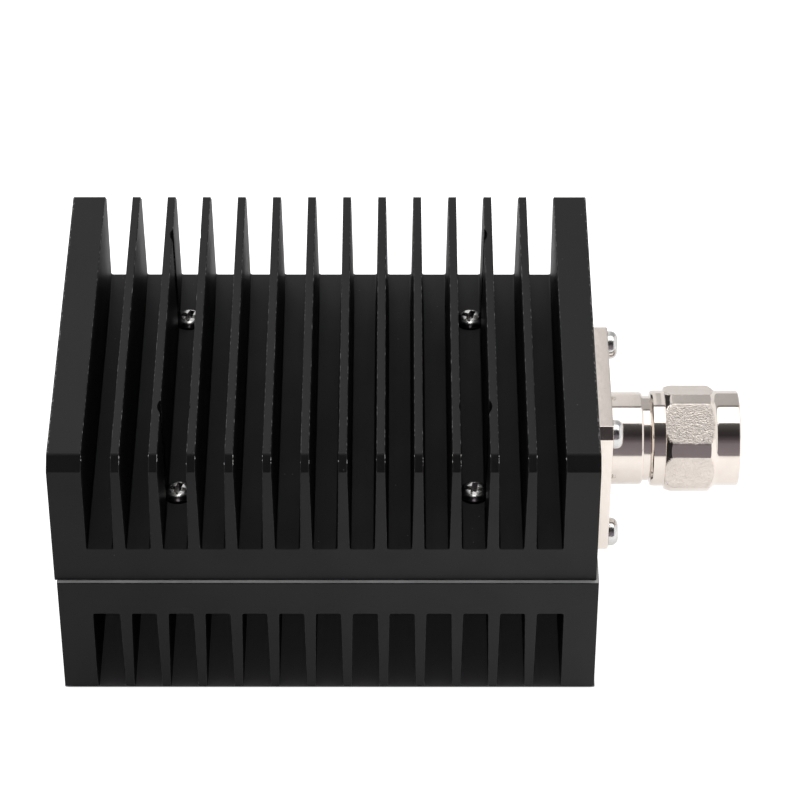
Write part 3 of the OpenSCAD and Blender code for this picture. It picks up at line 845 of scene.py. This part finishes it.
class TERMINATION_OT_plug_body(bpy.types.Operator):
    """Make the plug's body: square flange, boss, neck and journal"""

    bl_idname = "termination.plug_body"
    bl_label = "Plug body"

    def execute(self, context):
        plug = context.scene.termination_plug
        nut = context.scene.termination_nut
        screws = context.scene.termination_screws
        thick = plug.flange_thick
        boss_end = thick + plug.boss_length
        nut_rear = boss_end + plug.neck_length
        ring_start = nut_rear + nut.collar_length - nut.ring_back
        under_ring = 0.02 * MM
        ring_r = plug.journal / 2 - plug.ring_in - under_ring
        groove_start = ring_start - RING_PLAY
        land_start = ring_start + nut.ring_width + RING_PLAY
        land_end = land_start + plug.land_length
        # Between the neck and the nut's collar
        gap = 0.14 * MM
        slope = math.tan(plug.bevel_slope)
        body = turned_object(
            "plug_turned",
            [
                (thick - OVER, 0.0),
                (thick - OVER, plug.boss / 2),
                (boss_end - plug.boss_bevel, plug.boss / 2, 0.12 * MM),
                (boss_end, plug.boss / 2 - plug.boss_bevel * slope, 0.08 * MM),
                (boss_end, plug.neck / 2, 0.06 * MM),
                (nut_rear - gap, plug.neck / 2, 0.06 * MM),
                (nut_rear - gap, plug.journal / 2, 0.04 * MM),
                (groove_start, plug.journal / 2),
                (groove_start, ring_r),
                (land_start, ring_r),
                (land_start, plug.land / 2, 0.04 * MM),
                (land_end, plug.land / 2, 0.1 * MM),
                (land_end, 0.0),
            ],
            steps=144,
        )
        half = plug.flange / 2
        short = half - plug.flange_cut
        corners = [(half, -short), (half, short)]
        for _ in range(3):
            corners += [(-y, x) for x, y in corners[-2:]]
        edge = 0.25 * MM
        outline = rounded_outline([(x, y, edge) for x, y in corners], 3)
        soft = 0.2 * MM
        rings = [
            [Vector((station, p.x, p.y)) for p in inset(outline, inwards)]
            for station, inwards in (
                (0.0, soft / 2),
                (soft / 2, 0.0),
                (thick - soft, 0.0),
                (thick - 0.3 * soft, 0.3 * soft),
                (thick, soft),
            )
        ]
        plate = capped_object("plug_dressed", rings)
        plate.data.transform(Matrix.Rotation(plug.flange_turn, 4, "X"))
        combine(plate, body, "UNION")
        bore = turned_object(
            "bore",
            [
                (-OVER, 0.0),
                (-OVER, plug.rear_bore / 2),
                (plug.front_bore_start, plug.rear_bore / 2),
                (plug.front_bore_start, plug.front_bore / 2),
                (land_end + OVER, plug.front_bore / 2),
                (land_end + OVER, 0.0),
            ],
        )
        combine(plate, bore)
        plate.data.transform(Matrix.Translation((SEAT_X, AXIS.y, AXIS.z)))
        places = screw_places("flange_screws", SEAT_X)
        holes = rods(places, screws.clearance / 2, -OVER, thick + OVER)
        combine(plate, join("holes", holes))
        smooth(plate)
        finishes = turned_nickel(plug.nickel), tumbled_nickel(plug.nickel)
        dress(plate, "termination", ["plug_body"], "nickel_plated_brass", *finishes)
        for face in plate.data.polygons:
            if face.center.x < SEAT_X + thick + 0.01 * MM:
                face.material_index = 1
        return {"FINISHED"}


def refined(outline, longest):
    """Splits the sides of a closed outline; longest gives the most for a side's middle."""
    points = []
    for k, point in enumerate(outline):
        following = outline[(k + 1) % len(outline)]
        side = following - point
        parts = max(1, math.ceil(side.length / longest((point + following) / 2)))
        points += [point + side * i / parts for i in range(parts)]
    return points


def hexagon_angles(half_land):
    """Angles round the nut, close together where a flat meets a turned corner."""
    meet = 30 - half_land
    # In degrees from the middle of a flat, and from where it meets the corner
    steps = [0, 3, 6, 9, 12, 15, 17.5, 19.2]
    steps += [meet + d for d in (-1.3, -0.8, -0.4, 0, 0.4, 0.8, 1.4, 2.4, 4, 6)]
    sector = sorted({-s for s in steps if s > 0} | set(steps) | {30.0})
    return [math.radians(60 * k + a) for k in range(6) for a in sector]


def soft_minimum(a, b, blend):
    """The smaller of two radii, rounded where they cross."""
    low = min(a, b)
    return low - blend * math.log1p(math.exp(-abs(a - b) / blend))


def thread_height(turns):
    """Height of the thread between its root and its crest, for a phase in turns."""
    foot = 0.44
    flank = 0.315
    from_crest = abs((turns % 1.0) - 0.5)
    return min(1.0, max(0.0, (foot - from_crest) / flank))


class TERMINATION_OT_coupling_nut(bpy.types.Operator):
    """Make the coupling nut: collar, hexagon, nose and right-handed thread"""

    bl_idname = "termination.coupling_nut"
    bl_label = "Coupling nut"

    def execute(self, context):
        nut = context.scene.termination_nut
        plug = context.scene.termination_plug
        rear = NUT[0].x - SEAT_X
        hex_start = rear + nut.collar_length
        nose_start = hex_start + nut.hexagon_length
        end = nose_start + nut.nose_length
        # The corners are turned down, and stand as narrow flat lands
        corner = nut.corners / 2
        bevel = nut.rear_bevel / 2
        bore = nut.thread / 2
        edge = nut.nose_bevel
        groove_from = hex_start - nut.ring_back - RING_PLAY
        groove_to = groove_from + nut.ring_width + 3 * RING_PLAY
        thread_from = groove_to + 3.2 * MM
        # Radius round the turned edges, and how soon the bar's skin sets in on a flat
        soft = 0.08 * MM
        skin_from = 0.12 * MM
        corners = [
            (rear, nut.lip / 2, soft),
            (rear, nut.collar / 2 - nut.collar_bevel * math.tan(plug.bevel_slope), soft),
            (rear + nut.collar_bevel, nut.collar / 2, 2 * soft),
            (hex_start, nut.collar / 2, 0.5 * soft),
            (hex_start, bevel, soft),
            (hex_start + (corner - bevel) / math.tan(nut.rear_slope), corner, 2 * soft),
            (nose_start - corner + nut.nose / 2, corner, 2 * soft),
            (nose_start, nut.nose / 2, nut.shoulder),
            (end - edge, nut.nose / 2, soft),
            (end, nut.nose / 2 - edge, soft),
            (end, bore + edge, soft),
            (end - edge, bore),
            (groove_to, bore),
            (groove_to, nut.groove / 2),
            (groove_from, nut.groove / 2),
            (groove_from, nut.lip / 2),
        ]

        def longest(middle):
            """Fine on the thread and where the hexagon's bevels curve into its flats."""
            coarse, fine, on_thread = 1 * MM, 0.13 * MM, nut.pitch / 10
            if abs(middle.y - bore) < 1e-6:
                return on_thread if middle.x > groove_to + 2 * MM else coarse
            plain = hex_start + 1.7 * MM < middle.x < nose_start - 1.9 * MM
            outer = middle.y > nut.flats / 2 - 1.2 * MM
            on_hexagon = hex_start <= middle.x <= nose_start
            return fine if outer and on_hexagon and not plain else coarse

        outline = refined(rounded_outline(corners, 4), longest)
        half_land = 30 - math.degrees(math.acos(nut.flats / nut.corners))
        land_flat = corner * math.cos(math.radians(half_land))
        deep = (nut.thread - nut.thread_minor) / 2
        sixth = math.pi / 6
        rings, skins = [], []
        for point in outline:
            threaded = abs(point.y - bore) < 1e-6 and thread_from - nut.pitch < point.x < end - edge
            fade = min(
                1.0,
                (end - edge - point.x) / (0.5 * nut.pitch),
                (point.x - thread_from + nut.pitch) / nut.pitch,
            )
            ring = []
            for a in hexagon_angles(half_land):
                sector = (a + sixth) % (2 * sixth) - sixth
                flat = nut.flats / 2 / math.cos(sector)
                land = land_flat / math.cos(sixth - abs(sector))
                radius = point.y
                if point.y > bore + 1 * MM:
                    radius = soft_minimum(soft_minimum(point.y, flat, nut.blend), land, nut.blend)
                if threaded:
                    turns = point.x / nut.pitch - (a + sixth) / (2 * math.pi)
                    radius -= deep * thread_height(turns) * max(0.0, fade)
                turned = a + sixth + nut.turn
                y, z = radius * math.cos(turned), radius * math.sin(turned)
                ring.append(Vector((point.x, y, z)))
                skins.append(min(1.0, max(0.0, (point.y - flat) / skin_from + 0.2)))
            rings.append(ring)
        piece = mesh_object("nut_dressed", rings, sides(rings, closed=True))
        values = piece.data.attributes.new("bar_skin", "FLOAT", "POINT")
        values.data.foreach_set("value", skins)
        piece.data.transform(Matrix.Translation((SEAT_X, AXIS.y, AXIS.z)))
        smooth(piece)
        nickel = crinkled_nickel(plug.nickel)
        dress(piece, "nut", ["coupling_nut"], "nickel_plated_brass", nickel)
        return {"FINISHED"}


def cross_cutter(screws):
    """The driver's cross: four arms that taper down into the head."""
    above = 0.3 * MM
    top = screws.head_height + above
    bottom = screws.head_height - screws.cross_depth
    arm = screws.cross_arm / 2
    slope = (screws.cross / 2 - arm) / screws.cross_depth
    rings = []
    for station, reach, half in (
        (bottom, arm, screws.cross_arm * 0.3),
        (top, screws.cross / 2 + slope * above, arm + 0.03 * MM),
    ):
        ring = []
        for quarter in range(4):
            turn = Matrix.Rotation(math.pi / 4 + quarter * math.pi / 2, 2)
            for point in ((reach, -half), (reach, half), (half, half)):
                ring.append(Vector((station, *(turn @ Vector(point)))))
        rings.append(ring)
    return capped_object("cross", rings)


def pan_screw(screws, under_head):
    """A pan-head screw along X, its head's seat at 0, with a slightly domed top."""
    thread = screws.thread / 2
    head = screws.head / 2
    high = screws.head_height
    tip = 0.4 * MM
    screw = turned_object(
        "pan_screw",
        [
            (-under_head, 0.0),
            (-under_head, thread - tip),
            (tip - under_head, thread),
            (0.0, thread),
            (0.0, head, 0.12 * MM),
            (high - 0.10 * MM, head, screws.head_radius),
            (high - 0.02 * MM, head * 0.4, 0.5 * MM),
            (high, 0.0),
        ],
        steps=72,
        rounding=8,
    )
    return combine(screw, cross_cutter(screws))


class TERMINATION_OT_screws(bpy.types.Operator):
    """Make the eight pan-head screws that show"""

    bl_idname = "termination.screws"
    bl_label = "Screws"

    def execute(self, context):
        screws = context.scene.termination_screws
        plug = context.scene.termination_plug
        zinc = zinc_plated(screws.zinc)
        chance = random.Random(7)
        head_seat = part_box("clamp_screws")[1].z - screws.head_height
        front = SEAT_X + plug.flange_thick
        # Each node, where its heads sit, its screws' length, and how far they are turned
        for node, seat, long, turns in (
            ("clamp_screws", head_seat, screws.clamp_length, (22, 44)),
            ("flange_screws", front, screws.flange_length, (-40, 40)),
        ):
            group = []
            for place in screw_places(node, seat):
                screw = pan_screw(screws, long)
                spin = Matrix.Rotation(math.radians(chance.uniform(*turns)), 4, "X")
                screw.matrix_world = place @ spin
                group.append(screw)
            group = smooth(join(node + "_dressed", group))
            dress(group, "termination", [node], "zinc_plated_steel", zinc)
        return {"FINISHED"}


class TERMINATION_OT_plug_inside(bpy.types.Operator):
    """Give the contacts, insulators, ring and gasket their finishes"""

    bl_idname = "termination.plug_inside"
    bl_label = "Plug inside"

    def execute(self, context):
        plug = context.scene.termination_plug
        # Turned PTFE is milk white and lets a little light in
        ptfe = plain_solid("ptfe_turned", linear("#f3f3ef"), 0.42, 1.38, 0.3, 0.004, soft=0.15)
        gold = plain_metal("gold_plate_on_turned_brass", linear("#e2b45c"), 0.16)
        finishes = {
            "outer_contact": turned_nickel(plug.nickel),
            "centre_contact": gold,
            "front_insulator": ptfe,
            "rear_insulator": ptfe,
            "retaining_ring": plain_metal("phosphor_bronze_wire", linear("#b78b5a"), 0.3),
            # Moulded silicone is brick red and quite matt
            "gasket": plain_solid("silicone_moulded", linear("#a5402c"), 0.55, 1.41, 0.25, 0.003),
        }
        finish_nodes(finishes)
        return {"FINISHED"}


def finish_nodes(finishes):
    """Gives the object of each CAD node a material in each of its slots."""
    for node, material in finishes.items():
        for slot in frame["nodes"][node].material_slots:
            slot.material = material


class TERMINATION_OT_load(bpy.types.Operator):
    """Give the load resistor and what holds it their finishes"""

    bl_idname = "termination.load"
    bl_label = "Load resistor"

    def execute(self, context):
        zinc = zinc_plated(context.scene.termination_screws.zinc)
        copper = plain_metal("nickel_plate_on_copper", linear("#d8d4cb"), 0.28, 0.2)
        ceramic = plain_solid("alumina_fired", linear("#efeee9"), 0.5, 1.76, 0.12, 0.002)
        finishes = {
            "resistor_flange": copper,
            "resistor_tab": copper,
            "resistor_substrate": ceramic,
            "resistor_cover": ceramic,
            # Solder sets with a satin skin of small ripples
            "solder_joint": plain_metal("solder_flowed", linear("#c4c4c2"), 0.34, 0.5),
            # Pressed graphite is dark grey with a soft shine
            "thermal_pad": plain_solid("graphite_pressed", linear("#3c3c40"), 0.5, 1.6, 0.2, 0.003),
            "resistor_washers": zinc,
            "resistor_screws": zinc,
        }
        finish_nodes(finishes)
        return {"FINISHED"}


def seen(tree, path):
    """1 for a ray from the camera, a mirror or through glass, and 0 for one that only lights."""
    camera, mirror, glass = (path[f"Is {kind} Ray"] for kind in ("Camera", "Glossy", "Transmission"))
    either = put(tree, "ShaderNodeMath", (camera, mirror), operation="MAXIMUM")
    return put(tree, "ShaderNodeMath", (either, glass), operation="MAXIMUM")


def beside_part(tree, where, bevel):
    """Distance over the floor from the lower fins' flat tips, from 0 under them, in metres."""
    middle = (LOWER[0] + LOWER[1]) / 2
    half = (LOWER[1] - LOWER[0]) / 2
    for operation, by in (
        ("SUBTRACT", (middle.x, middle.y, 0.0)),
        ("ABSOLUTE", (0.0, 0.0, 0.0)),
        ("SUBTRACT", (half.x, half.y - bevel, 0.0)),
        ("MAXIMUM", (0.0, 0.0, 0.0)),
    ):
        where = put(tree, "ShaderNodeVectorMath", (where, by), operation=operation)
    return put(tree, "ShaderNodeVectorMath", (where,), operation="LENGTH").outputs["Value"]


def floor_paint(studio, bevel):
    """Matt white paint, with a glow where it is seen, so that its own light stays off the object.

    Under the fins' tips the paint is a darker painted grey and hardly glows: a
    painted shadow where the part's shade falls. The metal mirrors a painted glow
    that falls off to the left and behind the part, as light from a softbox on the
    right would, and that stops at a painted front edge of the table.
    """
    material, tree, where = new_material("floor_matt_white")
    path = put(tree, "ShaderNodeLightPath").outputs
    parts = put(tree, "ShaderNodeSeparateXYZ", {"Vector": where}).outputs
    # The painted shade ends a few tenths of a millimetre outside the tips
    away = (beside_part(tree, where, bevel), 0.22 * MM, 0.42 * MM)
    clear = put(tree, "ShaderNodeMapRange", away, interpolation_type="SMOOTHSTEP")
    # Painted shade: under the tips the floor keeps only 0.005 of its glow
    under = put(tree, "ShaderNodeMapRange", (clear, 0.0, 1.0, 0.005, 1.0))
    # Painted shade: the paint turns from the floor's colour to the painted grey under the tips
    hues = {0: clear, 6: studio.contact, 7: studio.floor}
    paint_with_painted_shade = put(tree, "ShaderNodeMix", hues, data_type="RGBA").outputs[2]
    # Painted reflection: the glow that the metal mirrors rises from the left of the part to a little
    # short of its right
    glow = put(
        tree, "ShaderNodeMapRange", (parts["X"], LOWER[0].x, LOWER[1].x - 15 * MM, 0.32, 1.07)
    )
    # Painted reflection: the mirrored glow ends at a painted front edge of the table, past which the
    # metal mirrors the dim cloth
    painted_table_edge = put(tree, "ShaderNodeMapRange", (parts["Y"], -450 * MM, -430 * MM))
    # Painted reflection: behind the part the mirrored glow falls to 0.4 of itself
    beyond = put(tree, "ShaderNodeMapRange", (parts["Y"], 0.0, 60 * MM, 1.0, 0.4))
    for factor in (painted_table_edge, beyond, studio.mirrored_glow):
        glow = put(tree, "ShaderNodeMath", (glow, factor), operation="MULTIPLY")
    levels = {0: path["Is Glossy Ray"], 2: studio.floor_glow, 3: glow}
    strength = put(tree, "ShaderNodeMix", levels, data_type="FLOAT")
    for factor in (seen(tree, path), under):
        strength = put(tree, "ShaderNodeMath", (factor, strength), operation="MULTIPLY")
    paint = put(tree, "ShaderNodeBsdfDiffuse", {"Color": paint_with_painted_shade})
    light = put(tree, "ShaderNodeEmission", {"Strength": strength})
    both = put(tree, "ShaderNodeAddShader", (paint, light))
    put(tree, "ShaderNodeOutputMaterial", {"Surface": both})
    return material


def room_cloth():
    """The room that the metal mirrors: pale behind, black over the camera and dim in front."""
    material, tree, where = new_material("room_cloth")
    parts = put(tree, "ShaderNodeSeparateXYZ", {"Vector": where}).outputs
    turn = put(tree, "ShaderNodeMath", (parts["Z"], parts["Y"]), operation="ARCTAN2")
    share = put(tree, "ShaderNodeMath", (turn, math.pi), operation="DIVIDE")
    # From the back of the floor (0) over the top to the front (1), with a
    # dark gap behind the softbox and a faint violet cast in front
    stops = [
        (0.0, (0.86, 0.86, 0.86, 1.0)),
        (0.15, (0.86, 0.86, 0.87, 1.0)),
        (0.286, (0.84, 0.84, 0.85, 1.0)),
        (0.3, (0.12, 0.12, 0.12, 1.0)),
        (0.55, (0.12, 0.12, 0.12, 1.0)),
        (0.61, (0.075, 0.075, 0.077, 1.0)),
        (0.67, (0.042, 0.039, 0.040, 1.0)),
        (0.73, (0.033, 0.030, 0.032, 1.0)),
        (0.79, (0.095, 0.082, 0.092, 1.0)),
        (0.84, (0.2, 0.178, 0.2, 1.0)),
        (1.0, (0.262, 0.235, 0.262, 1.0)),
    ]
    ramp = put(tree, "ShaderNodeValToRGB", {"Fac": share}, stops)
    # Behind the part the cloth is pale like a white card as far as x = 145.8 mm, and past that it is
    # dimmer
    edge = (parts["X"], 144.0 * MM, 145.8 * MM)
    beyond = put(tree, "ShaderNodeMapRange", edge, interpolation_type="SMOOTHSTEP")
    behind = put(tree, "ShaderNodeMapRange", (share, 0.29, 0.31, 0.44, 0.0))
    loss = put(tree, "ShaderNodeMath", (beyond, behind), operation="MULTIPLY")
    level = put(tree, "ShaderNodeMath", (1.0, loss), operation="SUBTRACT")
    light = put(tree, "ShaderNodeEmission", {"Color": ramp, "Strength": level})
    put(tree, "ShaderNodeOutputMaterial", {"Surface": light})
    return material


class TERMINATION_OT_studio(bpy.types.Operator):
    """Make the camera, the softbox, the pale floor and the room round them"""

    bl_idname = "termination.studio"
    bl_label = "Studio"

    def execute(self, context):
        scene = context.scene
        studio = scene.termination_studio
        scene.camera = self.camera(studio)
        self.lamp(studio)
        self.floor(floor_paint(studio, scene.termination_heatsink.tip_bevel))
        self.room(studio.room)
        scene.world = self.world(studio)
        scene.view_settings.view_transform = "Standard"
        return {"FINISHED"}

    def camera(self, studio):
        """A long lens at the photograph's angle."""
        data = bpy.data.cameras.new("camera")
        data.lens = studio.lens
        data.sensor_width = 36
        data.clip_start = 0.05
        data.clip_end = 50
        camera = placed("camera", data)
        turn, rise, roll = studio.azimuth, studio.elevation, studio.roll
        back = Vector(
            (math.sin(turn) * math.cos(rise), -math.cos(turn) * math.cos(rise), math.sin(rise))
        )
        right = Vector((math.cos(turn), math.sin(turn), 0))
        up = back.cross(right)
        across = right * math.cos(roll) + up * math.sin(roll)
        above = up * math.cos(roll) - right * math.sin(roll)
        facing = Matrix((across, above, back)).transposed().to_4x4()
        camera.matrix_world = Matrix.Translation(TARGET + studio.distance * back) @ facing
        return camera

    def lamp(self, studio):
        """One large softbox overhead, its middle behind the part's."""
        data = bpy.data.lights.new("softbox", "AREA")
        data.shape = "RECTANGLE"
        data.size = studio.lamp_width
        data.size_y = studio.lamp_depth
        data.energy = studio.lamp_level * math.pi * studio.lamp_width * studio.lamp_depth
        lamp = placed("softbox", data)
        lamp.location = (0, studio.lamp_back, studio.lamp_height)
        lamp.visible_camera = False

    def floor(self, paint):
        """A pale floor that reaches past every view."""
        far = 12.0
        corners = [(-far, -far, 0), (far, -far, 0), (far, far, 0), (-far, far, 0)]
        floor = mesh_object("floor", [corners], [(0, 1, 2, 3)])
        floor.data.materials.append(paint)

    def room(self, reach):
        """Half a tube of cloth over the floor, which the camera looks through."""
        steps = 48
        rings = []
        for k in range(steps + 1):
            a = math.pi * k / steps
            y, z = reach * math.cos(a), reach * math.sin(a)
            rings.append([Vector((x, y, z)) for x in (-reach, reach)])
        faces = [(2 * k, 2 * k + 1, 2 * k + 3, 2 * k + 2) for k in range(steps)]
        room = mesh_object("room", rings, faces)
        room.data.materials.append(room_cloth())
        room.visible_camera = False

    def world(self, studio):
        """White where it is seen, and a softer fill where it only lights."""
        world = bpy.data.worlds.new("studio")
        world.use_nodes = True
        tree = world.node_tree
        tree.nodes.clear()
        path = put(tree, "ShaderNodeLightPath").outputs
        strength = put(tree, "ShaderNodeMapRange", (seen(tree, path), 0, 1, studio.fill, 1.0))
        light = put(tree, "ShaderNodeBackground", {"Color": (1, 1, 1, 1), "Strength": strength})
        put(tree, "ShaderNodeOutputWorld", {"Surface": light})
        return world


class TERMINATION_PT_panel(bpy.types.Panel):
    """Lists the pieces of the termination"""

    bl_idname = "TERMINATION_PT_panel"
    bl_label = "Coaxial termination"
    bl_space_type = "VIEW_3D"
    bl_region_type = "UI"
    bl_category = "Termination"

    def draw(self, context):
        for piece in PIECES:
            self.layout.operator(piece.bl_idname)
        for name in GROUPS:
            box = self.layout.box()
            group = getattr(context.scene, name)
            box.label(text=group.bl_rna.description)
            for key in group.bl_rna.properties.keys():
                if key not in ("name", "rna_type"):
                    box.prop(group, key)


PIECES = (
    TERMINATION_OT_studio,
    TERMINATION_OT_heatsinks,
    TERMINATION_OT_burrs,
    TERMINATION_OT_plug_body,
    TERMINATION_OT_coupling_nut,
    TERMINATION_OT_screws,
    TERMINATION_OT_plug_inside,
    TERMINATION_OT_load,
)
GROUPS = {
    "termination_heatsink": HeatsinkSizes,
    "termination_screws": ScrewSizes,
    "termination_plug": PlugSizes,
    "termination_nut": NutSizes,
    "termination_studio": StudioSettings,
}


def register():
    """Adds the classes, and the settings to the scene."""
    for kind in (*GROUPS.values(), *PIECES, TERMINATION_PT_panel):
        bpy.utils.register_class(kind)
    for name, kind in GROUPS.items():
        setattr(bpy.types.Scene, name, PointerProperty(type=kind))


def unregister():
    """Takes the settings and the classes away again."""
    for name in GROUPS:
        delattr(bpy.types.Scene, name)
    for kind in (TERMINATION_PT_panel, *reversed(PIECES), *GROUPS.values()):
        bpy.utils.unregister_class(kind)


def main():
    """Makes every piece."""
    register()
    bpy.ops.termination.studio()
    bpy.ops.termination.heatsinks()
    bpy.ops.termination.burrs()
    bpy.ops.termination.plug_body()
    bpy.ops.termination.coupling_nut()
    bpy.ops.termination.screws()
    bpy.ops.termination.plug_inside()
    bpy.ops.termination.load()


if __name__ == "__main__":
    main()
